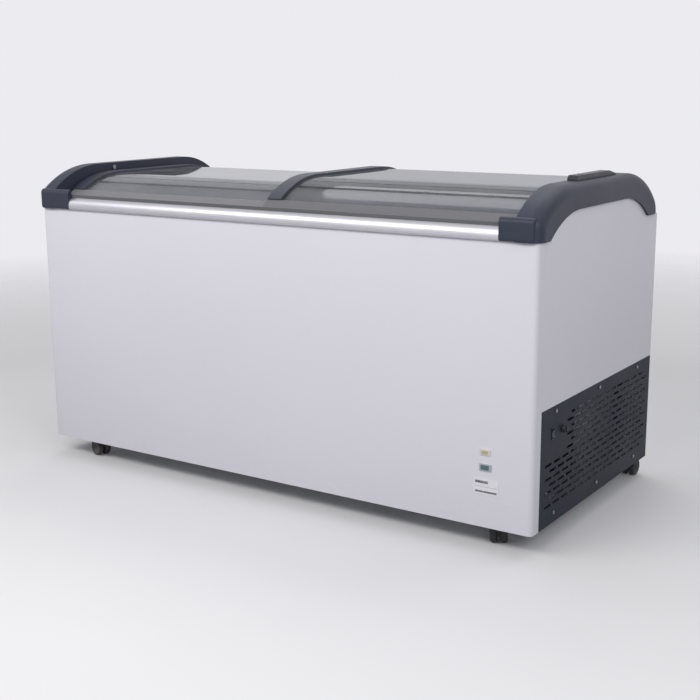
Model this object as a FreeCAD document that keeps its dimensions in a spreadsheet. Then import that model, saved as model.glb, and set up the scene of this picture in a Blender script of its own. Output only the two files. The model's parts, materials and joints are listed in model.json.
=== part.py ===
import FreeCAD, Part
import math
import os
import Sketcher
from FreeCAD import Vector, Placement, Rotation

# Curved-top sliding-lid chest freezer.
# Frame: origin on the floor under the middle of the cabinet, +X to the
# machine-bay end, +Y to the rear, +Z up.  Millimetres.

os.makedirs("parts", exist_ok=True)
doc = FreeCAD.newDocument("ChestFreezer")

# ------------------------------------------------------------------ sizes
CELLS = [
    ("half_length", 740.0), ("half_depth", 350.0), ("skirt_bottom", 52.0),
    ("sheet", 1.2), ("corner_radius", 12.0), ("wrap", 35.0),
    ("front_top", 706.0), ("wall_top", 712.0),
    ("bay_wall_x", 349.0), ("bay_top", 326.0),
    ("tank_half_x", 676.0), ("tank_half_y", 288.0), ("tank_floor", 112.0),
    ("step_top", 372.0), ("liner", 1.5), ("pan_z", 64.0),
    # lid arch: flat to arch_flat, then an arc about (arch_flat, arch_axis)
    ("arch_flat", 150.0), ("arch_axis", 533.4), ("arch_angle", 35.5),
    ("upper_frame_r", 268.6), ("upper_glass_r", 262.6), ("upper_inner_r", 258.6),
    ("lower_frame_r", 252.6), ("lower_glass_r", 246.6), ("lower_inner_r", 242.6),
    ("glass_tail", 10.0), ("wide_frame", 40.0), ("slim_frame", 14.0),
    ("lid_end_x", 683.5), ("upper_left_x", 0.0), ("lower_right_x", 22.0),
    # end caps
    ("cap_inner_x", 686.0), ("cap_outer_x", 746.0), ("cap_bottom", 697.0),
    ("cap_front", 360.0), ("cap_rear", 346.0), ("cap_top", 807.0), ("cap_wall", 4.0),
    ("block_left_x", 626.0), ("block_right_x", 651.0), ("cap_round", 28.0),
    # bumper rails
    ("bumper_face", 362.0), ("bumper_bottom", 697.0), ("bumper_top", 728.0),
    # casters
    ("wheel_radius", 23.0), ("wheel_width", 17.0), ("wheel_gap", 7.0),
    ("axle_radius", 3.0), ("caster_trail", 18.0), ("plate_length", 56.0),
    ("plate_width", 46.0), ("plate_thick", 2.5), ("bolt_x", 42.0), ("bolt_y", 32.0), ("bolt_hole_radius", 3.3),
    # controls
    ("knob_radius", 9.5), ("knob_length", 8.0), ("switch_y", -252.0), ("switch_z", 264.0),
    ("knob_y", -196.0), ("knob_z", 262.0),
    # machine bay
    ("compressor_radius", 76.0), ("compressor_height", 150.0), ("fan_radius", 64.0),
    ("condenser_width", 250.0), ("condenser_height", 200.0), ("condenser_thick", 60.0),
]
sheet = doc.addObject("Spreadsheet::Sheet", "Sizes")
for row, (alias, value) in enumerate(CELLS, start=1):
    sheet.set("A%d" % row, alias)
    sheet.set("B%d" % row, repr(value))
    sheet.setAlias("B%d" % row, alias)
doc.recompute()


class Dim(object):
    """A size that carries both its number and the sheet expression for it."""

    def __init__(self, val, expr):
        self.val = float(val)
        self.expr = expr

    @staticmethod
    def of(other):
        if isinstance(other, Dim):
            return other
        return Dim(other, "(%.6f)" % other if other < 0 else "%.6f" % other)

    def __add__(self, o):
        o = Dim.of(o)
        return Dim(self.val + o.val, "(%s + %s)" % (self.expr, o.expr))

    __radd__ = __add__

    def __sub__(self, o):
        o = Dim.of(o)
        return Dim(self.val - o.val, "(%s - %s)" % (self.expr, o.expr))

    def __rsub__(self, o):
        return Dim.of(o) - self

    def __mul__(self, o):
        o = Dim.of(o)
        return Dim(self.val * o.val, "(%s * %s)" % (self.expr, o.expr))

    __rmul__ = __mul__

    def __neg__(self):
        return Dim(-self.val, "(0 - %s)" % self.expr)


def S(alias):
    return Dim(getattr(sheet, alias), "Sizes.%s" % alias)


ANG = math.radians(S("arch_angle").val)
SIN, COS = math.sin(ANG), math.cos(ANG)
NODES = []


def note(obj, label):
    obj.Label = label
    NODES.append(obj)
    return obj


def bind(obj, prop, dim):
    dim = Dim.of(dim)
    obj.setExpression(prop, dim.expr)


# ------------------------------------------------------------- primitives
def box(name, x0, x1, y0, y1, z0, z1, label=None):
    """Axis-aligned box between bound limits."""
    b = doc.addObject("Part::Box", name)
    x0, x1, y0, y1, z0, z1 = [Dim.of(v) for v in (x0, x1, y0, y1, z0, z1)]
    bind(b, "Length", x1 - x0)
    bind(b, "Width", y1 - y0)
    bind(b, "Height", z1 - z0)
    bind(b, "Placement.Base.x", x0)
    bind(b, "Placement.Base.y", y0)
    bind(b, "Placement.Base.z", z0)
    if label:
        note(b, label)
    return b


def cyl(name, r, length, pos, axis=(0, 0, 1), label=None):
    c = doc.addObject("Part::Cylinder", name)
    bind(c, "Radius", r)
    bind(c, "Height", length)
    c.Placement = Placement(Vector(0, 0, 0), Rotation(Vector(0, 0, 1), Vector(*axis)))
    for k, v in zip("xyz", pos):
        bind(c, "Placement.Base.%s" % k, v)
    if label:
        note(c, label)
    return c


def cut(name, base, tools, label=None):
    if len(tools) > 1:
        t = doc.addObject("Part::MultiFuse", name + "_tools")
        t.Shapes = tools
    else:
        t = tools[0]
    c = doc.addObject("Part::Cut", name)
    c.Base, c.Tool = base, t
    if label:
        note(c, label)
    return c


def fuse(name, shapes, label=None):
    f = doc.addObject("Part::MultiFuse", name)
    f.Shapes = shapes
    if label:
        note(f, label)
    return f


def group(name, shapes, label):
    """Several separate identical or matching solids kept in one node."""
    g = doc.addObject("Part::Compound", name)
    g.Links = shapes
    return note(g, label)


# --------------------------------------------------------------- sketches
def body(name, label):
    b = doc.addObject("PartDesign::Body", name)
    return note(b, label) if label else b


def origin_plane(b, role):
    for f in b.Origin.OriginFeatures:
        if f.Role == role:
            return f
    raise RuntimeError(role)


def new_sketch(b, role, name, offset=0.0):
    s = b.newObject("Sketcher::SketchObject", name)
    s.AttachmentSupport = (origin_plane(b, role), [""])
    s.MapMode = "FlatFace"
    if offset is not None and not (isinstance(offset, float) and offset == 0.0):
        s.setExpression("AttachmentOffset.Base.z", Dim.of(offset).expr)
    return s


def outline(s, verts, edges=None):
    """Closed outline.  verts: (u, v) pairs of numbers or Dims.
    edges[i] joins vertex i to i+1: None for a line, or (centre_u, centre_v,
    ccw) for an arc whose radius is bound through its end points."""
    n = len(verts)
    edges = edges or [None] * n
    P = [(Dim.of(u), Dim.of(v)) for u, v in verts]
    ids = []
    for i in range(n):
        a = Vector(P[i][0].val, P[i][1].val, 0)
        b = Vector(P[(i + 1) % n][0].val, P[(i + 1) % n][1].val, 0)
        e = edges[i]
        if e is None:
            ids.append((s.addGeometry(Part.LineSegment(a, b), False), 1, 2))
        else:
            cu, cv, ccw = e
            c = Vector(Dim.of(cu).val, Dim.of(cv).val, 0)
            r = (a - c).Length
            aa = math.atan2(a.y - c.y, a.x - c.x)
            ab = math.atan2(b.y - c.y, b.x - c.x)
            if ccw:
                if ab < aa:
                    ab += 2 * math.pi
                g = s.addGeometry(Part.ArcOfCircle(Part.Circle(c, Vector(0, 0, 1), r), aa, ab), False)
                ids.append((g, 1, 2))
            else:
                if aa < ab:
                    aa += 2 * math.pi
                g = s.addGeometry(Part.ArcOfCircle(Part.Circle(c, Vector(0, 0, 1), r), ab, aa), False)
                ids.append((g, 2, 1))
    cons = []
    names = []
    for i in range(n):
        g, first, last = ids[i]
        g2, first2, _ = ids[(i + 1) % n]
        cons.append(Sketcher.Constraint("Coincident", g, last, g2, first2))
        names.append(None)
    for i in range(n):
        g, first, _ = ids[i]
        for k, kind in ((0, "DistanceX"), (1, "DistanceY")):
            cons.append(Sketcher.Constraint(kind, -1, 1, g, first, P[i][k].val))
            names.append((kind[-1].lower() + str(i), P[i][k]))
    for i in range(n):
        if edges[i] is not None:
            g = ids[i][0]
            r = s.Geometry[g].Radius
            cons.append(Sketcher.Constraint("Radius", g, r))
            names.append(("r%d" % i, None))
    s.addConstraint(cons)
    base = s.ConstraintCount - len(cons)
    tag = "o%d_" % base
    for j, nm in enumerate(names):
        if nm is None:
            continue
        s.renameConstraint(base + j, tag + nm[0])
        if nm[1] is not None and "Sizes" in nm[1].expr:
            s.setExpression("Constraints." + tag + nm[0], nm[1].expr)
    return ids


def circle(s, cu, cv, r):
    cu, cv, r = Dim.of(cu), Dim.of(cv), Dim.of(r)
    g = s.addGeometry(Part.Circle(Vector(cu.val, cv.val, 0), Vector(0, 0, 1), r.val), False)
    base = s.ConstraintCount
    s.addConstraint([Sketcher.Constraint("DistanceX", -1, 1, g, 3, cu.val),
                     Sketcher.Constraint("DistanceY", -1, 1, g, 3, cv.val),
                     Sketcher.Constraint("Radius", g, r.val)])
    for j, (nm, d) in enumerate((("cx", cu), ("cy", cv), ("cr", r))):
        s.renameConstraint(base + j, "c%d_%s" % (base, nm))
        if "Sizes" in d.expr:
            s.setExpression("Constraints.c%d_%s" % (base, nm), d.expr)


def pad(b, s, length, name, reverse=False):
    p = b.newObject("PartDesign::Pad", name)
    p.Profile = s
    p.Reversed = reverse
    bind(p, "Length", length)
    return p


def pocket(b, s, length, name, reverse=False, through=False):
    p = b.newObject("PartDesign::Pocket", name)
    p.Profile = s
    p.Reversed = reverse
    if through:
        p.Type = 1
    else:
        bind(p, "Length", length)
    return p


def extrude_x(name, label, x0, x1, verts, edges=None):
    """Section in the Y-Z plane, padded from x0 to x1."""
    b = body(name, label)
    s = new_sketch(b, "YZ_Plane", name + "_section", x0)
    outline(s, verts, edges)
    pad(b, s, Dim.of(x1) - Dim.of(x0), name + "_pad")
    return b


def revolve(name, label, verts, edges, pos, axis=(0, 0, 1), extra_rot=None):
    """Half section in the X-Z plane of the body, turned about its own Z."""
    b = body(name, label)
    s = new_sketch(b, "XZ_Plane", name + "_section")
    outline(s, verts, edges)
    r = b.newObject("PartDesign::Revolution", name + "_turn")
    r.Profile = s
    r.ReferenceAxis = (s, ["V_Axis"])
    r.Angle = 360.0
    b.Placement = Placement(Vector(*[Dim.of(p).val for p in pos]), Rotation(Vector(0, 0, 1), Vector(*axis)))
    return b


HL, HD, SK, TH = S("half_length"), S("half_depth"), S("skirt_bottom"), S("sheet")
AF, AZ = S("arch_flat"), S("arch_axis")


def arch_point(r, side, tail=0.0, out=0.0):
    """End of the arch arc of radius r, run on along its tangent by tail and
    lifted off it by out.  side is -1 at the front and +1 at the rear."""
    y = side * (AF + (r + out) * SIN + Dim.of(tail) * COS)
    z = AZ + (r + out) * COS - Dim.of(tail) * SIN
    return y, z


def arch_band(r_in, r_out, tail=0.0):
    """Closed band between two concentric arches, front to rear."""
    v, e = [], []
    # outer, from the front end over to the rear end
    v.append(arch_point(r_out, -1, tail)); e.append(None)
    v.append(arch_point(r_out, -1)); e.append((-AF, AZ, False))
    v.append((-AF, AZ + r_out)); e.append(None)
    v.append((AF, AZ + r_out)); e.append((AF, AZ, False))
    v.append(arch_point(r_out, 1)); e.append(None)
    v.append(arch_point(r_out, 1, tail)); e.append(None)
    # inner, back again
    v.append(arch_point(r_in, 1, tail)); e.append(None)
    v.append(arch_point(r_in, 1)); e.append((AF, AZ, True))
    v.append((AF, AZ + r_in)); e.append(None)
    v.append((-AF, AZ + r_in)); e.append((-AF, AZ, True))
    v.append(arch_point(r_in, -1)); e.append(None)
    v.append(arch_point(r_in, -1, tail)); e.append(None)
    return v, e


def arch_band_short(r_in, r_out, degrees):
    """The same band without straight tails, ending at a given angle."""
    sn, cs = math.sin(math.radians(degrees)), math.cos(math.radians(degrees))

    def end(r, side):
        return side * (AF + r * sn), AZ + r * cs
    v = [end(r_out, -1), (-AF, AZ + r_out), (AF, AZ + r_out), end(r_out, 1),
         end(r_in, 1), (AF, AZ + r_in), (-AF, AZ + r_in), end(r_in, -1)]
    e = [(-AF, AZ, False), None, (AF, AZ, False), None, (AF, AZ, True), None, (-AF, AZ, True), None]
    return v, e


# ------------------------------------------------------------ outer shell
# Painted front: one sheet folded round both vertical corners.
b = body("FrontPanel", "front_panel")
s = new_sketch(b, "XY_Plane", "FrontPanel_section", SK)
R, W = S("corner_radius"), S("wrap")
v = [(-HL, -HD + W), (-HL, -HD + R), (-HL + R, -HD), (HL - R, -HD), (HL, -HD + R), (HL, -HD + W),
     (HL - TH, -HD + W), (HL - TH, -HD + R), (HL - R, -HD + TH), (-HL + R, -HD + TH), (-HL + TH, -HD + R), (-HL + TH, -HD + W)]
e = [None, (-HL + R, -HD + R, True), None, (HL - R, -HD + R, True), None, None,
     None, (HL - R, -HD + R, False), None, (-HL + R, -HD + R, False), None, None]
outline(s, v, e)
pad(b, s, S("cap_bottom") - 0.4 - SK, "FrontPanel_pad")


def side_panel(name, label, x0, z0):
    """Flat side sheet whose top edge follows the arch under the end cap."""
    ys, yr = -HD + W + 0.4, HD - TH - 0.3
    r = 259.0
    top = 759.5
    a1 = 0.62
    v = [(ys, z0), (yr, z0), (yr, 696.6), (292.0, 696.6), (118 + r * math.sin(a1), top - r + r * math.cos(a1)), (118.0, top),
         (-150.0, top), (-150 - r * math.sin(a1), top - r + r * math.cos(a1)), (ys, 704.0)]
    e = [None, None, None, None, (118.0, top - r, True), None, (-150.0, top - r, True), None, None]
    return extrude_x(name, label, x0, x0 + TH, v, e)


side_panel("LeftSide", "left_side_panel", -HL, SK)
side_panel("RightSide", "right_side_panel", HL - TH, S("bay_top") + 0.5)
box("RearPanel", -HL, HL, HD - TH, HD, SK, S("cap_bottom") - 0.4, "rear_panel")

# Pressed base pan: flat sheet with stiffening side flanges and an air opening under the bay
pan = box("BasePanFlat", -HL + 5, HL - 5, -HD + 6, HD - 5, S("pan_z"), S("pan_z") + 2)
vent = box("BasePanVent", HL - 150, HL - 50, -230.0, -100.0, S("pan_z") - 5, S("pan_z") + 8)
lipf = box("BasePanLipF", -HL + 30, HL - 30, -HD + 6, -HD + 8, S("pan_z") - 10, S("pan_z") + 1)
lipr = box("BasePanLipR", -HL + 30, HL - 30, HD - 7, HD - 5, S("pan_z") - 10, S("pan_z") + 1)
cut("BasePan", fuse("BasePanFolded", [pan, lipf, lipr]), [vent], "base_pan")

# Foam: separate slabs round the tank, with the step over the machine bay
LT = S("liner")
XI, YI = S("tank_half_x"), S("tank_half_y")
gx, gy = XI + LT + 0.2, YI + LT + 0.2
ox, oy = HL - TH - 0.4, HD - TH - 0.4
zb, zs, zt = S("tank_floor") - LT - 0.2, S("step_top") - LT - 0.2, S("cap_bottom") - 1
bx = S("bay_wall_x")
slabs = [
    box("FoamFrontHigh", -ox + 22, ox - 22, -oy, -gy, zs, zt), box("FoamFrontLow", -ox + 22, bx - 1, -oy, -gy, zb, zs),
    box("FoamRearHigh", -ox, ox, gy, oy, zs, zt), box("FoamRearLow", -ox, bx - 1, gy, oy, zb, zs),
    box("FoamLeft", -ox, -gx, -gy, gy, zb, zt), box("FoamRight", gx, ox, -gy, gy, zs, zt),
    box("FoamFloor", -ox + 22, bx - 1, -oy, oy, S("pan_z") + 2, zb),
    box("FoamRiser", bx - 50, bx - 1, -gy, gy, zb, zs),
    box("FoamStep", bx - 1, ox, -oy + 34, oy, S("bay_top") + 1.2, zs),
]
group("Insulation", slabs, "insulation")
# Folded cover that closes the foam towards the machine bay
v = [(bx - 0.6, S("pan_z") + 2.5), (bx + 0.4, S("pan_z") + 2.5), (bx + 0.4, S("bay_top")), (HL - 3, S("bay_top")),
     (HL - 3, S("bay_top") + 1), (bx - 0.6, S("bay_top") + 1)]
b = body("BayCover", "machine_bay_cover")
s = new_sketch(b, "XZ_Plane", "BayCover_section", -(HD - 8))
outline(s, v)
pad(b, s, 2 * (HD - 8) - 2, "BayCover_pad")

# Tank liner, one sheet per face
zl = S("tank_floor")
st = S("step_top")
for tag_, label_, y0_ in (("LinerFront", "liner_front_wall", YI), ("LinerRear", "liner_rear_wall", -YI - LT)):
    # the long walls are stepped too, to leave the machine bay clear
    b = body(tag_, label_)
    s = new_sketch(b, "XZ_Plane", tag_ + "_outline", y0_)
    outline(s, [(-XI, zl), (bx - 50, zl), (bx - 50, st - LT), (XI, st - LT), (XI, S("wall_top")), (-XI, S("wall_top"))])
    pad(b, s, LT, tag_ + "_pad")
box("LinerLeft", -XI - LT, -XI, -YI, YI, zl, S("wall_top"), "liner_left_wall")
box("LinerRight", XI, XI + LT, -YI, YI, S("step_top"), S("wall_top"), "liner_right_wall")
box("LinerFloor", -XI, bx - 50 - 2, -YI, YI, zl - LT, zl, "liner_floor")
st = S("step_top")
v = [(bx - 50 - LT, zl), (bx - 50, zl), (bx - 50, st - LT), (XI, st - LT), (XI, st), (bx - 50 - LT, st)]
b = body("LinerStep", "liner_step")
s = new_sketch(b, "XZ_Plane", "LinerStep_section", -YI)
outline(s, v)
pad(b, s, 2 * YI, "LinerStep_pad")

# --------------------------------------------------------------- end caps
def end_cap(name, label, side):
    """Hollow moulded arch with a bumper block at the front corner."""
    zb_, zt_, yf, yr = S("cap_bottom"), S("cap_top"), -S("cap_front"), S("cap_rear")
    wall = S("cap_wall")
    r1, a, zf = 32.0, math.radians(52.0), 726.0
    r2 = (zt_.val - zf - r1 * math.sin(a)) / (1.0 - math.sin(a))
    c1 = (yf + r1, zf)
    p1 = (yf + r1 * (1 - math.cos(a)), zf + r1 * math.sin(a))
    c2 = (p1[0] + r2 * math.cos(a), zt_ - r2)
    ps = (c2[0], zt_)
    q1, q2 = 60.0, 230.8
    d = math.radians(45.0)
    zr = 697.0 + 3
    pr = (yr - q1 * (1 - math.cos(d)), zr + q1 * math.sin(d))
    cr2 = (pr[0] - q2 * math.sin(d), zt_ - q2)
    prs = (cr2[0], zt_)
    v = [(yf, zb_), (yr, zb_), (yr, zr), pr, prs, ps, p1, (yf, zf)]
    e = [None, None, (yr - q1, zr, True), (cr2[0], cr2[1], True), None, (c2[0], c2[1], True), (c1[0], c1[1], True), None]
    xo, xi = S("cap_outer_x"), S("cap_inner_x")
    b = body(name, label)
    x0 = xi if side > 0 else -xo
    s = new_sketch(b, "YZ_Plane", name + "_arch", x0)
    outline(s, v, e)
    pad(b, s, xo - xi, name + "_pad")
    # bumper block on the inner side of the front corner
    bk = S("block_right_x") if side > 0 else S("block_left_x")
    s = new_sketch(b, "YZ_Plane", name + "_block", bk if side > 0 else -xi - 28)
    yb = -S("bumper_face")
    k = 7.0
    kt = 11.0
    v2 = [(yb, zb_ + k), (yb + k, zb_), (-349.2, zb_), (-349.2, 749.0), (yb + kt, 749.0), (yb, 749.0 - kt)]
    e2 = [(yb + k, zb_ + k, True), None, None, None, (yb + kt, 749.0 - kt, True), None]
    outline(s, v2, e2)
    pad(b, s, xi - bk + 28, name + "_block_pad")
    doc.recompute()
    vol0 = b.Shape.Volume
    # inside is hollow and open underneath: a deep pocket behind the inner
    # wall and a shallower one beside it, which takes the side sheet's edge
    def hollow(w, x_in, x_out, tag2):
        s = new_sketch(b, "YZ_Plane", name + tag2, x_in if side > 0 else -x_out)
        v3 = [(yf + w, zb_ - 5), (yr - w, zb_ - 5), (yr - w, zr), (yr - w - (q1 - w) * (1 - math.cos(d)), zr + (q1 - w) * math.sin(d)),
              (cr2[0], zt_ - w), (c2[0], zt_ - w), (c2[0] - (r2 - w) * math.cos(a), c2[1] + (r2 - w) * math.sin(a)), (yf + w, zf)]
        e3 = [None, None, (yr - q1, zr, True), (cr2[0], cr2[1], True), None, (c2[0], c2[1], True), (c1[0], c1[1], True), None]
        outline(s, v3, e3)
        before = b.Shape.Volume
        p = pocket(b, s, Dim.of(x_out) - Dim.of(x_in), name + tag2 + "_cut", reverse=True)
        doc.recompute()
        if not b.Shape.Volume < before - 1000:
            p.Reversed = False
            doc.recompute()
        return p
    w = wall
    hollow(w, xi + w, xo - 24, "_hollow")
    hollow(w + 11, xo - 24, HL + 0.4, "_slot")
    vol1 = b.Shape.Volume
    # arched lower edge of the outer skirt, which shows the side panel
    s = new_sketch(b, "YZ_Plane", name + "_skirt", (HL - 2.0) if side > 0 else (-xo - 1))
    rf, rr = 251.0, 245.0
    af, ar = math.acos((rf - 55.0) / rf), math.acos((rr - 55.0) / rr)
    v4 = [(-150 - rf * math.sin(af), 696.5), (-150 - rf * math.sin(af), 690.0), (118 + rr * math.sin(ar), 690.0),
          (118 + rr * math.sin(ar), 696.5), (118.0, 751.5), (-150.0, 751.5)]
    e4 = [None, None, None, (118.0, 751.5 - rr, True), None, (-150.0, 751.5 - rf, True)]
    outline(s, v4, e4)
    p = pocket(b, s, xo - HL + 3.0, name + "_skirt_cut", reverse=True)
    doc.recompute()
    if not b.Shape.Volume < vol1 - 1000:
        p.Reversed = False
        doc.recompute()
    vol2 = b.Shape.Volume
    # the inner wall stops above the lid track; the front and rear returns
    # stay outside the painted shell
    s = new_sketch(b, "YZ_Plane", name + "_inner", (xi - 1) if side > 0 else (-xi - w - 0.01))
    v5 = [(-349.2, 690.0), (yr + 6, 690.0), (yr + 6, 714.0), (-349.2, 714.0)]
    outline(s, v5)
    p = pocket(b, s, w + 1.01, name + "_inner_cut", reverse=True)
    doc.recompute()
    if not b.Shape.Volume < vol2 - 100:
        p.Reversed = False
        doc.recompute()
    # soft outer edge
    pts = []
    xs = side * xo.val
    for i, ed in enumerate(b.Shape.Edges):
        bb = ed.BoundBox
        if abs(bb.XMin - xs) < 0.01 and abs(bb.XMax - xs) < 0.01 and bb.ZMax > 752 and bb.ZMin > 694 and \
           (bb.ZMax > 760 or bb.YMin > 340 or bb.YMax < -355):
            pts.append("Edge%d" % (i + 1))
    if pts:
        f = b.newObject("PartDesign::Fillet", name + "_soft")
        f.Base = (b.Tip if b.Tip != f else p, pts)
        f.setExpression("Radius", S("cap_round").expr)
        doc.recompute()
        if "Invalid" in f.State or f.Shape.isNull() or not f.Shape.isValid():
            b.removeObject(f)
            doc.removeObject(f.Name)
            b.Tip = p
            print("fillet dropped on", label)
    # the block runs on across the front of the arch to a rounded outer end
    x_end = xi.val + 46.0
    s = new_sketch(b, "YZ_Plane", name + "_block_outer", (xi + 26) if side > 0 else -xi - 46)
    outline(s, v2, e2)
    pad(b, s, 20.0, name + "_block_outer_pad")
    doc.recompute()
    last = b.Tip
    for r in (9.0, 7.0, 5.0, 3.0, 1.5):
        pts = []
        for i, ed in enumerate(last.Shape.Edges):
            bb = ed.BoundBox
            if abs(bb.XMin - side * x_end) < 0.01 and abs(bb.XMax - side * x_end) < 0.01 and bb.YMax < -350.5 and \
               bb.ZMin > 703.9 and bb.ZMax < 738.1 and bb.ZMax - bb.ZMin > 5:
                pts.append("Edge%d" % (i + 1))
        if not pts:
            print("no block end edge on", label)
            break
        f = b.newObject("PartDesign::Fillet", name + "_block_end")
        f.Base = (last, pts)
        f.Radius = r
        doc.recompute()
        if "Invalid" in f.State or f.Shape.isNull() or not f.Shape.isValid() or f.Shape.Volume >= last.Shape.Volume:
            doc.removeObject(f.Name)
            b.Tip = last
            doc.recompute()
            continue
        print("block end radius", r, "on", label)
        break
    return b


cap_l = end_cap("CapLeft", "left_end_cap", -1)
cap_r = end_cap("CapRight", "right_end_cap", 1)

# Lock housing that stands on the right cap
v = [(-105.0, 807.2), (130.0, 807.2), (112.0, 813.0), (84.0, 819.0), (-98.0, 819.0), (-105.0, 812.0)]
extrude_x("LockPod", "lock_housing", 690.0, 714.0, v)
# Lock barrels: round faces with a key slot across them
cut("LockR", cyl("LockRBarrel", 6.0, 1.9, (702.0, -60.0, 819.1), (0, 0, 1)),
    [box("LockRKey", 698.4, 705.6, -60.6, -59.4, 820.1, 822.0)], "right_lock_barrel")
cut("LockL", cyl("LockLBarrel", 6.0, 3.8, (-685.85, -126.0, 794.5), (1, 0, 0)),
    [box("LockLKey", -683.0, -680.0, -126.6, -125.4, 790.9, 798.1)], "left_lock_barrel")

# ------------------------------------------------------------ bumper rail
def bumper(name, label, side):
    """Hollow extruded rail with a rounded face and a top lip."""
    y0, z0, z1 = S("bumper_face"), S("bumper_bottom"), S("bumper_top")
    yi = HD + 0.3
    k, t, hh = 7.0, 1.6, 20.0
    sg = side
    ccw = sg > 0
    # the upper face is one broad arc from the vertical face up to the wall
    dd = Dim.of(y0).val - Dim.of(yi).val
    rr = (hh * hh + dd * dd) / (2.0 * dd)
    ri = rr - t
    h2 = math.sqrt(ri * ri - (ri - (dd - 2.0 * t)) ** 2)
    v = [(sg * (y0 - k), z0), (sg * y0, z0 + k), (sg * y0, z1 - hh), (sg * yi, z1), (sg * yi, z0)]
    e = [(sg * (y0 - k), z0 + k, ccw), None, (sg * (y0 - rr), z1 - hh, ccw), None, None]
    b = extrude_x(name, label, -S("block_left_x") + 0.3, S("block_right_x") - 0.3, v, e)
    s = new_sketch(b, "YZ_Plane", name + "_core", -S("block_left_x") - 1)
    v2 = [(sg * (y0 - k), z0 + t), (sg * (y0 - t), z0 + k), (sg * (y0 - t), z1 - hh), (sg * (yi + t), z1 - hh + h2), (sg * (yi + t), z0 + t)]
    e2 = [(sg * (y0 - k), z0 + k, ccw), None, (sg * (y0 - rr), z1 - hh, ccw), None, None]
    outline(s, v2, e2)
    v0 = b.Shape.Volume if not b.Shape.isNull() else 0
    doc.recompute()
    v0 = b.Shape.Volume
    p = pocket(b, s, S("block_left_x") + S("block_right_x") + 4, name + "_core_cut", reverse=True)
    doc.recompute()
    if not b.Shape.Volume < v0 - 1000:
        p.Reversed = False
        doc.recompute()
    return b


bumper("BumperFront", "front_bumper_rail", -1)

# ----------------------------------------------------------- lid tracks
def track(name, label, side):
    """Two-groove plastic track on the top of the long wall."""
    z0, t = 706.5, 2.2
    def m(y):
        return side * y
    base = 709.0
    # outer wall, groove for the outer lid, middle rib, groove for the inner lid, inner rib, inner apron
    pts = [(348.9, z0), (348.9, 736.0), (346.6, 736.0), (346.6, base), (331.6, base), (331.6, 714.6), (329.4, 714.6), (329.4, base),
           (309.0, base), (309.0, 711.6), (306.8, 711.6), (306.8, base), (291.0, base), (291.0, z0)]
    v = [(m(y), z) for y, z in pts]
    return extrude_x(name, label, -S("lid_end_x") - 1.5, S("lid_end_x") + 1.5, v)


track("TrackFront", "front_lid_track", -1)
track("TrackRear", "rear_lid_track", 1)
# Breaker strips that close the foam between the track and the liner
group("Breakers", [box("BreakerF", -XI, XI, -YI - LT - 1.0, -YI + 0.6, S("wall_top") + 0.2, S("wall_top") + 3.0),
                   box("BreakerR", -XI, XI, YI - 0.6, YI + LT + 1.0, S("wall_top") + 0.2, S("wall_top") + 3.0)], "breaker_strips")
# rear bumper rail, flat, behind the rear track
extrude_x("BumperRear", "rear_top_rail", -HL + 62, HL - 62,
          [(350.3, 690.0), (360.0, 690.0), (362.0, 692.0), (362.0, 731.0), (360.0, 733.0), (350.3, 733.0)])

# ------------------------------------------------------------------ lids
def lid(tag, label, r_frame, r_glass, r_in, x0, x1, leg_y, lip, foot_z):
    """One sliding lid: curved pane, wide left frame, slim right frame and
    the two runners that ride in the tracks."""
    fr, gr, ir = S(r_frame), S(r_glass), S(r_in)
    wide, slim = S("wide_frame"), S("slim_frame")
    lip_deg = math.degrees(ANG - lip / gr.val)
    tail = S("glass_tail")
    v, e = arch_band(ir, gr, tail)
    extrude_x(tag + "Glass", label + "_glass", x0 + 12, x1 - 1.5, v, e)
    # wide frame: an arched strip with a rebate underneath for the pane
    v, e = arch_band_short(ir, fr, lip_deg)
    b = extrude_x(tag + "FrameL", label + "_left_frame", x0, x0 + wide, v, e)
    doc.recompute()
    v0 = b.Shape.Volume
    s = new_sketch(b, "YZ_Plane", tag + "FrameL_rebate", x0 + 11.8)
    v, e = arch_band(ir - 1, gr + 0.15, tail)
    outline(s, v, e)
    p = pocket(b, s, wide, tag + "FrameL_rebate_cut", reverse=True)
    doc.recompute()
    if not b.Shape.Volume < v0 - 1000:
        p.Reversed = False
        doc.recompute()
    # slim frame: a low capping strip on the pane's right edge
    v, e = arch_band_short(gr + 0.15, gr + 1.8, lip_deg)
    extrude_x(tag + "FrameR", label + "_right_frame", x1 - slim, x1, v, e)
    # runners
    for side, nm in ((-1, "front"), (1, "rear")):
        def P(sdist, w):
            return arch_point(gr, side, sdist, w)
        # where the sloping faces meet the vertical leg
        g = gr.val
        def s_at(yabs, w):
            return (yabs - AF.val - (g + w) * SIN) / COS
        so = s_at(leg_y + 8.0, 3.2)
        si = s_at(leg_y, -7.2)
        s0 = 0.4 - lip
        up_ = lip * lip / (2.0 * g)
        pts = [P(s0, 3.2 + up_), P(so, 3.2), (side * (leg_y + 8.0), foot_z), (side * leg_y, foot_z), P(si, -7.2),
               P(4.0, -7.2), P(4.0, -4.2), P(10.3, -4.2), P(10.3, 0.2), P(s0, 0.2 + up_ + 0.05)]
        extrude_x(tag + "Runner" + nm, label + "_" + nm + "_runner", x0 + 1.0, x1 - 1.0, pts)


lid("Upper", "upper_lid", "upper_frame_r", "upper_glass_r", "upper_inner_r",
    S("upper_left_x"), S("lid_end_x"), 334.5, 0.0, 710.0)
lid("Lower", "lower_lid", "lower_frame_r", "lower_glass_r", "lower_inner_r",
    -S("lid_end_x"), S("lower_right_x"), 314.5, 12.0, 709.6)

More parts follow.
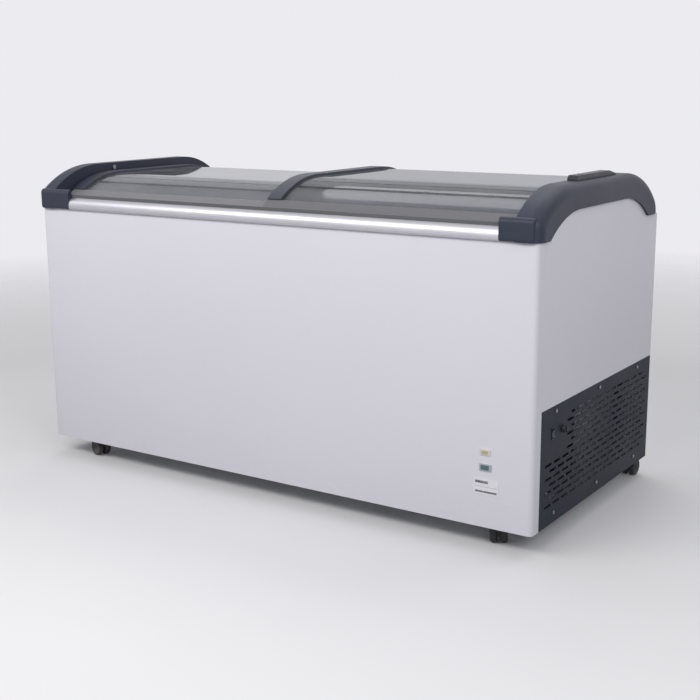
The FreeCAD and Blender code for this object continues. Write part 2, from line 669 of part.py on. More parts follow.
# ----------------------------------------------------------- side grille
GY0, GY1 = -HD + W + 0.6, HD - TH - 0.4
b = body("Grille", "side_grille")
s = new_sketch(b, "YZ_Plane", "Grille_outline", HL - 1.6)
k = 12.0
outline(s, [(GY0, SK), (GY1, SK), (GY1, S("bay_top")), (GY0 + k, S("bay_top")), (GY0, S("bay_top") - k)],
        [None, None, None, (GY0 + k, S("bay_top") - k, True), None])
pad(b, s, 1.6, "Grille_plate")
doc.recompute()


def slot_field(nm, y0, z0, ny, nz, dy, dz, ln, ht):
    s = new_sketch(b, "YZ_Plane", "Grille_slot_" + nm, HL + 1)
    outline(s, [(y0, z0), (y0 + ln, z0), (y0 + ln, z0 + ht), (y0, z0 + ht)])
    vol = b.Shape.Volume
    p = pocket(b, s, 6.0, "Grille_slot_cut_" + nm)
    doc.recompute()
    if not b.Shape.Volume < vol - 10:
        p.Reversed = True
        doc.recompute()
    m = b.newObject("PartDesign::MultiTransform", "Grille_rows_" + nm)
    m.Originals = [p]
    ax = origin_plane(b, "Y_Axis")
    az = origin_plane(b, "Z_Axis")
    l1 = b.newObject("PartDesign::LinearPattern", "Grille_row_" + nm)
    l1.Direction = (ax, [""])
    l1.Length = dy * (ny - 1)
    l1.Occurrences = ny
    l2 = b.newObject("PartDesign::LinearPattern", "Grille_col_" + nm)
    l2.Direction = (az, [""])
    l2.Length = dz * (nz - 1)
    l2.Occurrences = nz
    m.Transformations = [l1, l2]
    b.Tip = m
    doc.recompute()
    return m


slot_field("a", -150.0, 96.0, 10, 7, 46.0, 32.0, 34.0, 6.0)
slot_field("b", -173.0, 112.0, 11, 6, 46.0, 32.0, 34.0, 6.0)
slot_field("c", -288.0, 96.0, 3, 4, 46.0, 32.0, 34.0, 6.0)
slot_field("d", -265.0, 112.0, 2, 3, 46.0, 32.0, 34.0, 6.0)
# windows for the rocker switch and the thermostat spindle
s = new_sketch(b, "YZ_Plane", "Grille_windows", HL + 1)
ya, za = S("switch_y"), S("switch_z")
outline(s, [(ya - 7.4, za - 14.4), (ya + 7.4, za - 14.4), (ya + 7.4, za + 14.4), (ya - 7.4, za + 14.4)])
circle(s, S("knob_y"), S("knob_z"), 5.0)
vol = b.Shape.Volume
p = pocket(b, s, 6.0, "Grille_windows_cut")
doc.recompute()
if not b.Shape.Volume < vol - 10:
    p.Reversed = True
    doc.recompute()
# screw clearance holes
s = new_sketch(b, "YZ_Plane", "Grille_screw_holes", HL + 1)
SCREWS = [(-238.0, 313.0), (11.0, 313.0), (256.0, 313.0), (-238.0, 76.0), (11.0, 76.0), (256.0, 76.0)]
for y, z in SCREWS:
    circle(s, y, z, 2.2)
p = pocket(b, s, 6.0, "Grille_screw_cut")
vol = b.Shape.Volume
doc.recompute()
if not b.Shape.Volume < vol - 10:
    p.Reversed = True
    doc.recompute()

screws = []
for i, (y, z) in enumerate(SCREWS):
    shank = cyl("ScrewShank%d" % i, 2.0, 10.0, (HL - 9.6, y, z), (1, 0, 0))
    head = cyl("ScrewHead%d" % i, 4.2, 1.8, (HL + 0.2, y, z), (1, 0, 0))
    screws.append(fuse("Screw%d" % i, [shank, head]))
group("GrilleScrews", screws, "grille_screws")

# -------------------------------------------------------------- controls
# Thermostat: body behind the grille, stepped knob in front
tb = box("ThermoBox", HL - 32, HL - 4, S("knob_y") - 20, S("knob_y") + 20, S("knob_z") - 16, S("knob_z") + 16)
bore = cyl("ThermoBore", 3.05, 40.0, (HL - 20, S("knob_y"), S("knob_z")), (1, 0, 0))
cut("Thermostat", tb, [bore], "thermostat_body")
kn = revolve("KnobTurn", "thermostat_knob",
             [(0.0, -16.0), (3.0, -16.0), (3.0, 0.6), (S("knob_radius"), 0.6), (S("knob_radius") - 1.5, S("knob_length")), (0.0, S("knob_length"))],
             None, (HL.val, S("knob_y").val, S("knob_z").val), (1, 0, 0))
# raised finger bar across the knob face
s = new_sketch(kn, "XY_Plane", "KnobBar", S("knob_length") - 0.5)
outline(s, [(-7.0, -1.6), (7.0, -1.6), (7.0, 1.6), (-7.0, 1.6)])
pad(kn, s, 3.0, "KnobBar_pad")

hous = box("SwitchHouse", HL - 24, HL + 1.4, ya - 7.0, ya + 7.0, za - 14.0, za + 14.0)
hole = box("SwitchHole", HL - 14, HL + 3, ya - 5.4, ya + 5.4, za - 12.0, za + 12.0)
pivot = cyl("SwitchPivotHole", 1.25, 13.2, (HL - 3.0, ya - 6.6, za), (0, 1, 0))
cut("SwitchHousing", hous, [hole, pivot], "power_switch_housing")
b = body("Rocker", "power_switch_rocker")
s = new_sketch(b, "XZ_Plane", "Rocker_section", -(ya + 5.0))
outline(s, [(HL - 3.0, za - 7.5), (HL + 2.4, za - 9.5), (HL + 0.8, za), (HL + 4.0, za + 9.5), (HL - 3.0, za + 7.5)])
pad(b, s, 10.0, "Rocker_pad", reverse=False)
s = new_sketch(b, "XZ_Plane", "Rocker_pins", -(ya + 6.4))
circle(s, HL - 3.0, za, 1.2)
pad(b, s, 12.8, "Rocker_pins_pad", reverse=False)

# Cord inlet: strain-relief gland in the rear panel at the machine bay
g1 = cyl("InletFlange", 11.0, 3.0, (640.0, HD + 0.1, 100.0), (0, 1, 0))
g2 = cyl("InletBore", 4.2, 20.0, (640.0, HD - 5, 100.0), (0, 1, 0))
cut("CordInlet", g1, [g2], "cord_inlet_bush")

# ------------------------------------------------------- front fittings
ff = -HD
b = body("Lamp", "indicator_lamp")
s = new_sketch(b, "XZ_Plane", "Lamp_face", -ff + 0.2)
outline(s, [(613.0, 221.0), (637.0, 221.0), (637.0, 234.0), (613.0, 234.0)])
pad(b, s, 2.2, "Lamp_pad")
b = body("Display", "temperature_display")
s = new_sketch(b, "XZ_Plane", "Display_face", -ff + 0.2)
outline(s, [(611.0, 184.0), (640.0, 184.0), (640.0, 200.0), (611.0, 200.0)])
pad(b, s, 1.8, "Display_pad")
b = body("RatingLabel", "rating_label")
s = new_sketch(b, "XZ_Plane", "Label_face", -ff + 0.2)
outline(s, [(596.0, 129.0), (658.0, 129.0), (658.0, 166.0), (596.0, 166.0)])
pad(b, s, 0.5, "Label_pad")

# ----------------------------------------------------------- machine bay
CX, CY = 470.0, -30.0
cr, ch = S("compressor_radius"), S("compressor_height")
comp = revolve("CompressorTurn", None,
               [(0.0, 0.0), (cr - 22, 0.0), (cr, 22.0), (cr, ch * 0.48), (cr + 3.5, ch * 0.48), (cr + 3.5, ch * 0.52), (cr, ch * 0.52), (cr, ch - 34), (cr - 34, ch), (0.0, ch)],
               [None, (cr - 22, 22.0, True), None, None, None, None, None, (cr - 34, ch - 34, True), None, None],
               (CX, CY, 84.0))
rail = box("CompRail", CX - 95, CX + 95, CY - 55, CY + 55, 80.0, 84.5)
fuse("Compressor", [comp, rail], "compressor")
feet = []
for i, (dx, dy) in enumerate(((-82, -44), (82, -44), (-82, 44), (82, 44))):
    feet.append(cyl("CompFoot%d" % i, 9.0, 13.8, (CX + dx, CY + dy, S("pan_z") + 2.1), (0, 0, 1)))
group("CompFeet", feet, "compressor_feet")
# condenser: finned block beside the fan
fw, fh, ft = S("condenser_width"), S("condenser_height"), S("condenser_thick")
fins = []
for i in range(9):
    fins.append(box("Fin%d" % i, 600.0 + i * 7.2, 601.6 + i * 7.2, 60.0, 60.0 + fw, 72.0, 72.0 + fh))
tubes = []
for j, z in enumerate((92.0, 132.0, 172.0, 212.0, 252.0)):
    for kx, y in enumerate((90.0, 180.0, 280.0)):
        tubes.append(cyl("CondTube%d_%d" % (j, kx), 4.0, 66.0, (596.0, y, z), (1, 0, 0)))
fuse("Condenser", fins + tubes, "condenser")
FX, FY, FZ = 545.0, 185.0, 172.0
fr_ = S("fan_radius")
sh = box("ShroudPlate", FX + 12, FX + 14.5, FY - 108, FY + 108, 70.0, 274.0)
shh = cyl("ShroudHole", fr_ + 6, 12.0, (FX + 8, FY, FZ), (1, 0, 0))
arm = box("ShroudArm", FX + 11, FX + 12.05, FY - 108, FY + 108, FZ - 9, FZ + 9)
arm2 = fuse("ShroudArmed", [cut("ShroudRing", sh, [shh]), arm])
cut("FanShroud", arm2, [cyl("ShroudShaftHole", 6.0, 12.0, (FX + 6, FY, FZ), (1, 0, 0))], "fan_shroud")
mo = cyl("FanMotorCan", 30.0, 44.0, (FX + 12.5 - 0.6 - 45.0, FY, FZ), (1, 0, 0))
b = cut("FanMotor", mo, [cyl("MotorBore", 3.55, 30.0, (FX - 12, FY, FZ), (1, 0, 0))], "fan_motor")
# blade: hub with five pitched paddles, shaft in the motor
hub = cyl("FanHub", 15.0, 14.0, (FX + 16.0, FY, FZ), (1, 0, 0))
shaft = cyl("FanShaft", 3.5, 30.0, (FX - 10.0, FY, FZ), (1, 0, 0))
paddles = []
for i in range(5):
    pb = doc.addObject("Part::Box", "Paddle%d" % i)
    pb.Length, pb.Width = 1.6, 38.0
    bind(pb, "Height", fr_ - 12.0)
    tilt = Rotation(Vector(0, 0, 1), 28.0)
    spin = Rotation(Vector(1, 0, 0), 72.0 * i)
    rot = spin.multiply(tilt)
    off = rot.multVec(Vector(-0.8, -19.0, 10.0))
    pb.Placement = Placement(Vector(FX + 23.7 + off.x, FY + off.y, FZ + off.z), rot)
    paddles.append(pb)
fb = fuse("FanBlade", [hub, shaft] + paddles, "fan_blade")
doc.recompute()
if not fb.Shape.isValid():
    fb.Refine = False
    doc.recompute()
    print("fan valid", fb.Shape.isValid())
# filter drier
revolve("Drier", "filter_drier",
        [(0.0, -52.0), (3.0, -52.0), (3.0, -40.0), (9.5, -28.0), (9.5, 28.0), (3.0, 40.0), (3.0, 52.0), (0.0, 52.0)],
        None, (430.0, 150.0, 200.0), (0, 0.9, 0.43589))


def pipe(name, pts, radius, bend):
    """Copper line: straight runs joined by arcs, swept with a round section."""
    P = [Vector(*p) for p in pts]
    edges = []
    last = P[0]
    for i in range(1, len(P) - 1):
        a, c, d = P[i - 1], P[i], P[i + 1]
        u, w = (a - c).normalize(), (d - c).normalize()
        ang = u.getAngle(w)
        tl = bend / math.tan(ang / 2)
        s1, s2 = c + u * tl, c + w * tl
        bis = (u + w).normalize()
        mid = c + bis * (bend / math.sin(ang / 2) - bend)
        edges.append(Part.LineSegment(last, s1).toShape())
        edges.append(Part.Arc(s1, mid, s2).toShape())
        last = s2
    edges.append(Part.LineSegment(last, P[-1]).toShape())
    wire = Part.Wire(edges)
    t = (P[1] - P[0]).normalize()
    prof = Part.Wire([Part.Circle(P[0], t, radius).toShape()])
    sol = wire.makePipeShell([prof], True, False)
    f = doc.addObject("Part::Feature", name)
    f.Shape = sol
    f.Placement = Placement()
    return f


p1 = pipe("Discharge", [(CX + 30.0, CY, 235.5), (CX + 30.0, CY, 290.0), (566.0, 40.0, 290.0), (566.0, 40.0, 262.0)], 3.2, 14.0)
p2 = pipe("Suction", [(CX - 30.0, CY, 235.5), (CX - 30.0, CY, 285.0), (372.0, CY, 285.0), (372.0, 120.0, 285.0)], 4.0, 14.0)
group("Pipes", [p1, p2], "refrigerant_pipes")

# ---------------------------------------------------------------- casters
WR, WW, WG, AR = S("wheel_radius"), S("wheel_width"), S("wheel_gap"), S("axle_radius")
CASTERS = [("fl", -600.0, -305.0, 70.0), ("fr", 640.0, -308.0, 25.0), ("rl", -600.0, 316.0, 0.0), ("rr", 704.0, 316.0, 0.0)]
plates = []
for tag, cx, cy, yaw in CASTERS:
    pl = box("Plate_" + tag, cx - 0.5 * S("plate_length"), cx + 0.5 * S("plate_length"),
             cy - 0.5 * S("plate_width"), cy + 0.5 * S("plate_width"),
             S("pan_z") - S("plate_thick") - 0.1, S("pan_z") - 0.1)
    holes = []
    for i, (sx, sy) in enumerate(((-1, -1), (1, -1), (-1, 1), (1, 1))):
        holes.append(cyl("PlateHole_%s%d" % (tag, i), S("bolt_hole_radius"), 8.0,
                         (cx + sx * 0.5 * S("bolt_x"), cy + sy * 0.5 * S("bolt_y"), S("pan_z") - 6)))
    holes.append(cyl("PlateBore_" + tag, 4.05, 8.0, (Dim.of(cx), cy, S("pan_z") - 6)))
    plates.append(cut("CasterPlate_" + tag, pl, holes))
group("CasterPlates", plates, "caster_plates")

for tag, cx, cy, yaw in CASTERS:
    rot = Rotation(Vector(0, 0, 1), yaw)
    # trailing side of the axle, measured from the swivel centre
    tr = S("caster_trail").val
    z_ax = WR.val
    # housing: centre web between the two wheels with a hood over them
    h = body("Housing_" + tag, "caster_housing_" + tag)
    s = new_sketch(h, "YZ_Plane", "Hood_" + tag, -21.5)
    ro, ri = WR.val + 4.6, WR.val + 1.6
    a0, a1 = math.radians(-12.0), math.radians(112.0)
    c = (tr, z_ax)
    zt_p = S("pan_z").val - S("plate_thick").val - 0.6
    # hood: arc band over the wheels, from the front over to the rear
    def pt(r, a):
        return (c[0] - r * math.cos(a), c[1] + r * math.sin(a))
    v = [pt(ro, math.radians(20)), pt(ri, math.radians(20)), pt(ri, math.radians(128)), pt(ro, math.radians(128))]
    e = [None, (c[0], c[1], False), None, (c[0], c[1], True)]
    outline(s, v, e)
    pad(h, s, 43.0, "Hood_pad_" + tag)
    # centre web that carries the axle
    s = new_sketch(h, "YZ_Plane", "Web_" + tag, -0.5 * (WG.val - 1.2))
    v = [(c[0] - 9.0, z_ax - 8.0), (c[0] + 9.0, z_ax - 8.0), (c[0] + 12.0, z_ax + 20.0), (c[0] + 10.0, ro + z_ax - 1.5), (-9.0, ro + z_ax - 1.5),
         (-11.0, z_ax + 14.0)]
    outline(s, v)
    pad(h, s, WG.val - 1.2, "Web_pad_" + tag)
    # swivel collar and stem in the plate
    s = new_sketch(h, "XY_Plane", "Collar_" + tag, z_ax + 14.0)
    circle(s, 0.0, 0.0, 9.0)
    pad(h, s, zt_p - (z_ax + 14.0), "Collar_pad_" + tag)
    s = new_sketch(h, "XY_Plane", "Stem_" + tag, zt_p - 0.2)
    circle(s, 0.0, 0.0, 4.0)
    pad(h, s, S("plate_thick") + 0.5, "Stem_pad_" + tag)
    # keep the wheels clear of the collar, and bore the web for the axle
    doc.recompute()
    vol = h.Shape.Volume
    for k2, x0, x1 in ((0, 0.5 * WG.val - 0.6, 26.0), (1, -26.0, -0.5 * WG.val + 0.6)):
        s = new_sketch(h, "YZ_Plane", "Clear_%s%d" % (tag, k2), x0)
        circle(s, c[0], c[1], WR + 1.6)
        p = pocket(h, s, x1 - x0, "Clear_cut_%s%d" % (tag, k2), reverse=True)
    s = new_sketch(h, "YZ_Plane", "AxleBore_" + tag, -10.0)
    circle(s, c[0], c[1], AR + 0.05)
    p = pocket(h, s, 20.0, "AxleBore_cut_" + tag, reverse=True)
    doc.recompute()
    h.Placement = Placement(Vector(cx, cy, 0), rot)
    # wheel pair with its axle
    ax0 = Vector(cx, cy, 0) + rot.multVec(Vector(0, tr, z_ax))
    xdir = rot.multVec(Vector(1, 0, 0))
    parts_ = []
    for k2, sgn in ((0, 1), (1, -1)):
        w0 = 0.5 * WG.val
        wb = doc.addObject("PartDesign::Body", "Wheel_%s%d" % (tag, k2))
        s = new_sketch(wb, "XZ_Plane", "Wheel_sec_%s%d" % (tag, k2))
        outline(s, [(AR, w0), (WR - 5, w0), (WR, w0 + 5.0), (WR, w0 + WW - 6.0), (WR - 6, w0 + WW), (15.0, w0 + WW - 2.5), (7.0, w0 + WW - 2.5), (6.0, w0 + WW), (AR, w0 + WW)],
                [None, (WR - 5, w0 + 5.0, True), None, (WR - 6, w0 + WW - 6.0, True), None, None, None, None, None])
        rv = wb.newObject("PartDesign::Revolution", "Wheel_turn_%s%d" % (tag, k2))
        rv.Profile = s
        rv.ReferenceAxis = (s, ["V_Axis"])
        rv.Angle = 360.0
        wb.Placement = Placement(ax0, Rotation(Vector(0, 0, 1), xdir * sgn))
        parts_.append(wb)
    axl = doc.addObject("Part::Cylinder", "Axle_" + tag)
    bind(axl, "Radius", AR)
    axl.Height = 2 * (0.5 * WG.val + WW.val) - 2.0
    axl.Placement = Placement(ax0 - xdir * (axl.Height.Value / 2), Rotation(Vector(0, 0, 1), xdir))
    parts_.append(axl)
    group("WheelPair_" + tag, parts_, "caster_wheels_" + tag)

# ------------------------------------------------------------- finishing
doc.recompute()
bad = []
for o in doc.Objects:
    st_ = o.State
    if "Invalid" in st_ or "Error" in st_:
        bad.append((o.Name, st_))
if bad:
    raise SystemExit("failed objects: %s" % bad)
seen = set()
if len(NODES) > 60:
    raise SystemExit("too many nodes: %d" % len(NODES))
for o in NODES:
    sh_ = o.Shape
    if sh_.isNull() or not sh_.isValid() or sh_.Volume <= 0:
        raise SystemExit("bad shape: %s" % o.Label)
    if o.Label in seen:
        raise SystemExit("double label: %s" % o.Label)
    seen.add(o.Label)
for o in NODES:
    o.Shape.exportStep("parts/%s.step" % o.Label)
print("nodes", len(NODES))
for o in NODES:
    bb = o.Shape.BoundBox
    print("%-26s solids %d  vol %10.0f  x %.1f %.1f  y %.1f %.1f  z %.1f %.1f" % (
        o.Label, len(o.Shape.Solids), o.Shape.Volume, bb.XMin, bb.XMax, bb.YMin, bb.YMax, bb.ZMin, bb.ZMax))
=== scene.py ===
import bpy, bmesh, json, math
from mathutils import Vector, Matrix


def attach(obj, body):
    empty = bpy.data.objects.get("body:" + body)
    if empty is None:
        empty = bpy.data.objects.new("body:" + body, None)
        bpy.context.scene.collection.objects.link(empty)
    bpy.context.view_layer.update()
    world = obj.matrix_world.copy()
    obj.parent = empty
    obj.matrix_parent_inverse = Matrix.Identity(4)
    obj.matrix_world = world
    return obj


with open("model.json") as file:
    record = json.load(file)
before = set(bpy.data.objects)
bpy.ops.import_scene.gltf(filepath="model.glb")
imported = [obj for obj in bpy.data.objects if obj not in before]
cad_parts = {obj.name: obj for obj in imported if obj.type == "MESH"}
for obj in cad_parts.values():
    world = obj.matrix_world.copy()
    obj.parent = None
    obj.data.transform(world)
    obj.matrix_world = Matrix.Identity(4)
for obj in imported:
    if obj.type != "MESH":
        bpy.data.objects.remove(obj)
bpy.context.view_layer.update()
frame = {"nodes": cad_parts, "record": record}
NODES = frame["nodes"]
sc = bpy.context.scene
sc.view_settings.view_transform = "Standard"


# --------------------------------------------------------------- materials
class G(object):
    """Small helper round one material's node tree."""

    def __init__(self, name):
        self.m = bpy.data.materials.new(name)
        self.m.use_nodes = True
        self.t = self.m.node_tree
        self.t.nodes.clear()
        self.out = self.t.nodes.new("ShaderNodeOutputMaterial")
        self.co = self.t.nodes.new("ShaderNodeTexCoord").outputs["Object"]

    def n(self, kind, **kw):
        node = self.t.nodes.new(kind)
        for k, v in kw.items():
            setattr(node, k, v)
        return node

    def link(self, a, b):
        self.t.links.new(a, b)

    def mapped(self, scale=(1, 1, 1), loc=(0, 0, 0)):
        mp = self.n("ShaderNodeMapping")
        mp.inputs["Scale"].default_value = scale
        mp.inputs["Location"].default_value = loc
        self.link(self.co, mp.inputs["Vector"])
        return mp.outputs["Vector"]

    def noise(self, scale, detail=3.0, rough=0.55, vec=None, distort=0.0):
        nz = self.n("ShaderNodeTexNoise")
        nz.inputs["Scale"].default_value = scale
        nz.inputs["Detail"].default_value = detail
        nz.inputs["Roughness"].default_value = rough
        nz.inputs["Distortion"].default_value = distort
        self.link(vec if vec is not None else self.co, nz.inputs["Vector"])
        return nz.outputs["Fac"]

    def ramp(self, fac, stops):
        r = self.n("ShaderNodeValToRGB")
        els = r.color_ramp.elements
        while len(els) < len(stops):
            els.new(0.5)
        for e, (p, c) in zip(els, stops):
            e.position = p
            e.color = (c[0], c[1], c[2], 1.0)
        self.link(fac, r.inputs["Fac"])
        return r.outputs["Color"]

    def rng(self, fac, a, b, lo=0.0, hi=1.0):
        r = self.n("ShaderNodeMapRange")
        r.inputs["From Min"].default_value = lo
        r.inputs["From Max"].default_value = hi
        r.inputs["To Min"].default_value = a
        r.inputs["To Max"].default_value = b
        self.link(fac, r.inputs["Value"])
        return r.outputs["Result"]

    def math(self, op, a, b=None, clamp=False):
        m = self.n("ShaderNodeMath", operation=op, use_clamp=clamp)
        for i, v in enumerate((a, b)):
            if v is None:
                continue
            if isinstance(v, (int, float)):
                m.inputs[i].default_value = v
            else:
                self.link(v, m.inputs[i])
        return m.outputs[0]

    def mix(self, fac, a, b, mode="MIX"):
        m = self.n("ShaderNodeMix", data_type="RGBA", blend_type=mode)
        for sock, v in ((m.inputs[0], fac), (m.inputs[6], a), (m.inputs[7], b)):
            if isinstance(v, (int, float)):
                sock.default_value = v
            elif isinstance(v, (tuple, list)):
                sock.default_value = (v[0], v[1], v[2], 1.0)
            else:
                self.link(v, sock)
        return m.outputs[2]

    def axis(self, k):
        s = self.n("ShaderNodeSeparateXYZ")
        self.link(self.co, s.inputs[0])
        return s.outputs[k]

    def bump(self, height, strength, distance, normal=None):
        b = self.n("ShaderNodeBump")
        b.inputs["Strength"].default_value = strength
        b.inputs["Distance"].default_value = distance
        self.link(height, b.inputs["Height"])
        if normal is not None:
            self.link(normal, b.inputs["Normal"])
        return b.outputs["Normal"]

    def bevel(self, radius):
        b = self.n("ShaderNodeBevel", samples=4)
        b.inputs["Radius"].default_value = radius
        return b.outputs["Normal"]

    def surface(self, color, rough, normal=None, metal=0.0, coat=0.0, spec=0.5, **kw):
        p = self.n("ShaderNodeBsdfPrincipled")
        self.link(color, p.inputs["Base Color"])
        self.link(rough, p.inputs["Roughness"])
        p.inputs["Metallic"].default_value = metal
        p.inputs["Coat Weight"].default_value = coat
        p.inputs["Coat Roughness"].default_value = 0.12
        p.inputs["Specular IOR Level"].default_value = spec
        if normal is not None:
            self.link(normal, p.inputs["Normal"])
        self.link(p.outputs[0], self.out.inputs["Surface"])
        return p


def shade(c, k):
    return tuple(max(0.0, min(1.0, v * k)) for v in c)


def dusted(g, color, amount, z0=0.05, z1=0.35, tone=(0.33, 0.31, 0.29)):
    """Light dust that gathers low down and in patches."""
    low = g.rng(g.axis(2), 1.0, 0.0, z0, z1)
    patch = g.rng(g.noise(7.0, 5.0, 0.6), 0.0, 1.0, 0.42, 0.72)
    fac = g.math("MULTIPLY", g.math("ADD", g.math("MULTIPLY", low, 0.7), 0.15), g.math("MULTIPLY", patch, amount), clamp=True)
    return g.mix(fac, color, tone)


def plain(name, base, rough=0.5, metal=0.0, var=0.05, vs=6.0, grain=700.0, bump=0.12, dist=0.0002,
          rv=0.06, stretch=(1, 1, 1), coat=0.0, bevel=0.0, dust=0.0, spec=0.5, tone=(0.33, 0.31, 0.29)):
    g = G(name)
    vec = g.mapped(stretch)
    big = g.noise(vs, 4.0, 0.55, vec)
    fine = g.noise(grain, 2.0, 0.5, vec)
    col = g.ramp(big, [(0.30, shade(base, 1 - var)), (0.52, base), (0.74, shade(base, 1 + var))])
    col = g.mix(g.rng(fine, 0.0, 0.35, 0.35, 0.75), col, shade(base, 1 - 1.6 * var))
    if dust:
        col = dusted(g, col, dust, tone=tone)
    ro = g.math("ADD", g.rng(big, rough - rv, rough + rv, 0.3, 0.7), g.rng(fine, -0.03, 0.03, 0.3, 0.7), clamp=True)
    nrm = g.bump(fine, bump, dist, g.bevel(bevel) if bevel else None)
    g.surface(col, ro, nrm, metal, coat, spec)
    return g.m


def brushed(name, base, rough=0.3, along=0, lines=900.0, metal=1.0, var=0.10, bevel=0.0, bump=0.12):
    """Drawn or brushed metal with long fine lines along one axis."""
    g = G(name)
    st = [1.0, 1.0, 1.0]
    st[along] = 0.012
    vec = g.mapped(tuple(st))
    ln = g.noise(lines, 3.0, 0.65, vec)
    big = g.noise(5.0, 3.0, 0.5)
    col = g.ramp(ln, [(0.25, shade(base, 1 - var)), (0.55, base), (0.8, shade(base, 1 + var))])
    col = g.mix(g.rng(big, 0.0, 0.22, 0.4, 0.7), col, shade(base, 0.78))
    ro = g.math("ADD", g.rng(ln, rough - 0.07, rough + 0.09, 0.3, 0.7), g.rng(big, -0.03, 0.05, 0.35, 0.7), clamp=True)
    g.surface(col, ro, g.bump(ln, bump, 0.0001, g.bevel(bevel) if bevel else None), metal)
    return g.m


# painted steel sheet: faint roller texture, slight oil-canning, light scuffs low down
def paint_mat(name, base):
    g = G(name)
    wave = g.noise(1.6, 1.0, 0.4)
    peel = g.noise(420.0, 2.0, 0.5)
    spot = g.noise(38.0, 5.0, 0.65)
    col = g.ramp(wave, [(0.3, shade(base, 0.975)), (0.7, shade(base, 1.015))])
    col = g.mix(g.rng(spot, 0.0, 0.16, 0.55, 0.8), col, shade(base, 0.93))
    scuff = g.noise(26.0, 6.0, 0.7, g.mapped((1.0, 1.0, 7.0)))
    low = g.rng(g.axis(2), 1.0, 0.0, 0.055, 0.20)
    fac = g.math("MULTIPLY", g.rng(scuff, 0.0, 0.5, 0.60, 0.82), low, clamp=True)
    col = g.mix(fac, col, (0.40, 0.39, 0.40))
    ro = g.math("ADD", g.rng(spot, 0.30, 0.42, 0.3, 0.7), g.math("MULTIPLY", fac, 0.25), clamp=True)
    n1 = g.bump(wave, 0.10, 0.004)
    g.surface(col, ro, g.bump(peel, 0.07, 0.00015, n1), 0.0, 0.12)
    return g.m


# stucco-embossed aluminium sheet of the tank
def stucco_mat(name, base):
    g = G(name)
    v = g.n("ShaderNodeTexVoronoi", feature="SMOOTH_F1")
    v.inputs["Scale"].default_value = 190.0
    g.link(g.co, v.inputs["Vector"])
    cell = v.outputs["Distance"]
    big = g.noise(4.0, 4.0, 0.6)
    frost = g.noise(22.0, 6.0, 0.7)
    col = g.ramp(big, [(0.3, shade(base, 0.93)), (0.7, shade(base, 1.04))])
    col = g.mix(g.rng(frost, 0.0, 0.5, 0.5, 0.75), col, (0.88, 0.90, 0.93))
    ro = g.math("ADD", g.rng(cell, 0.30, 0.46, 0.0, 0.7), g.rng(frost, 0.0, 0.15, 0.5, 0.75), clamp=True)
    g.surface(col, ro, g.bump(cell, 0.5, 0.0006), 0.55)
    return g.m


def galv_mat(name, base):
    """Zinc-coated sheet with its spangle."""
    g = G(name)
    v = g.n("ShaderNodeTexVoronoi", feature="F1")
    v.inputs["Scale"].default_value = 150.0
    v.inputs["Randomness"].default_value = 1.0
    vec = g.mapped((1.0, 1.0, 1.0))
    g.link(vec, v.inputs["Vector"])
    sep = g.n("ShaderNodeSeparateColor")
    g.link(v.outputs["Color"], sep.inputs[0])
    cell = sep.outputs[0]
    big = g.noise(3.0, 4.0, 0.6)
    col = g.ramp(cell, [(0.0, shade(base, 0.94)), (0.5, base), (1.0, shade(base, 1.05))])
    col = g.mix(g.rng(big, 0.0, 0.22, 0.4, 0.7), col, shade(base, 0.84))
    ro = g.math("ADD", g.rng(cell, 0.38, 0.46), g.rng(big, 0.0, 0.06, 0.4, 0.7), clamp=True)
    g.surface(col, ro, g.bump(g.noise(500.0, 2.0), 0.08, 0.0001), 0.85)
    return g.m


def glass_mat(name, tint, haze, streak_scale):
    """Clear pane: see-through face-on, mirror-like when seen along it, with wiped dust."""
    g = G(name)
    smear = g.noise(9.0, 5.0, 0.6, g.mapped((0.5, 2.2, 1.0)), 0.6)
    wipe = g.noise(streak_scale, 4.0, 0.6, g.mapped((0.10, 3.0, 1.5)))
    dustf = g.math("MULTIPLY", g.rng(smear, 0.0, 1.0, 0.38, 0.72), g.rng(wipe, 0.25, 1.0, 0.35, 0.7), clamp=True)
    tr = g.n("ShaderNodeBsdfTransparent")
    g.link(g.mix(dustf, tint, shade(tint, 0.90)), tr.inputs["Color"])
    gl = g.n("ShaderNodeBsdfGlossy")
    # painted shade on the reflection: the glossy tint is darker on the raised right-hand pane, so it mirrors a little
    # less than the left one
    g.link(g.mix(g.rng(g.axis(0), 0.0, 1.0, -0.02, 0.06), (0.97, 0.98, 1.0), (0.79, 0.80, 0.82)), gl.inputs["Color"])
    g.link(g.rng(dustf, 0.015, 0.11), gl.inputs["Roughness"])
    nb = g.bump(g.noise(2.4, 1.0, 0.4), 0.05, 0.01)
    g.link(nb, gl.inputs["Normal"])
    fr = g.n("ShaderNodeFresnel")
    fr.inputs["IOR"].default_value = 1.5
    m1 = g.n("ShaderNodeMixShader")
    g.link(g.math("MULTIPLY", fr.outputs[0], 0.92, clamp=True), m1.inputs[0])
    g.link(tr.outputs[0], m1.inputs[1])
    g.link(gl.outputs[0], m1.inputs[2])
    df = g.n("ShaderNodeBsdfDiffuse")
    df.inputs["Color"].default_value = (0.86, 0.87, 0.89, 1.0)
    m2 = g.n("ShaderNodeMixShader")
    g.link(g.rng(dustf, haze * 0.35, haze), m2.inputs[0])
    g.link(m1.outputs[0], m2.inputs[1])
    g.link(df.outputs[0], m2.inputs[2])
    g.link(m2.outputs[0], g.out.inputs["Surface"])
    return g.m


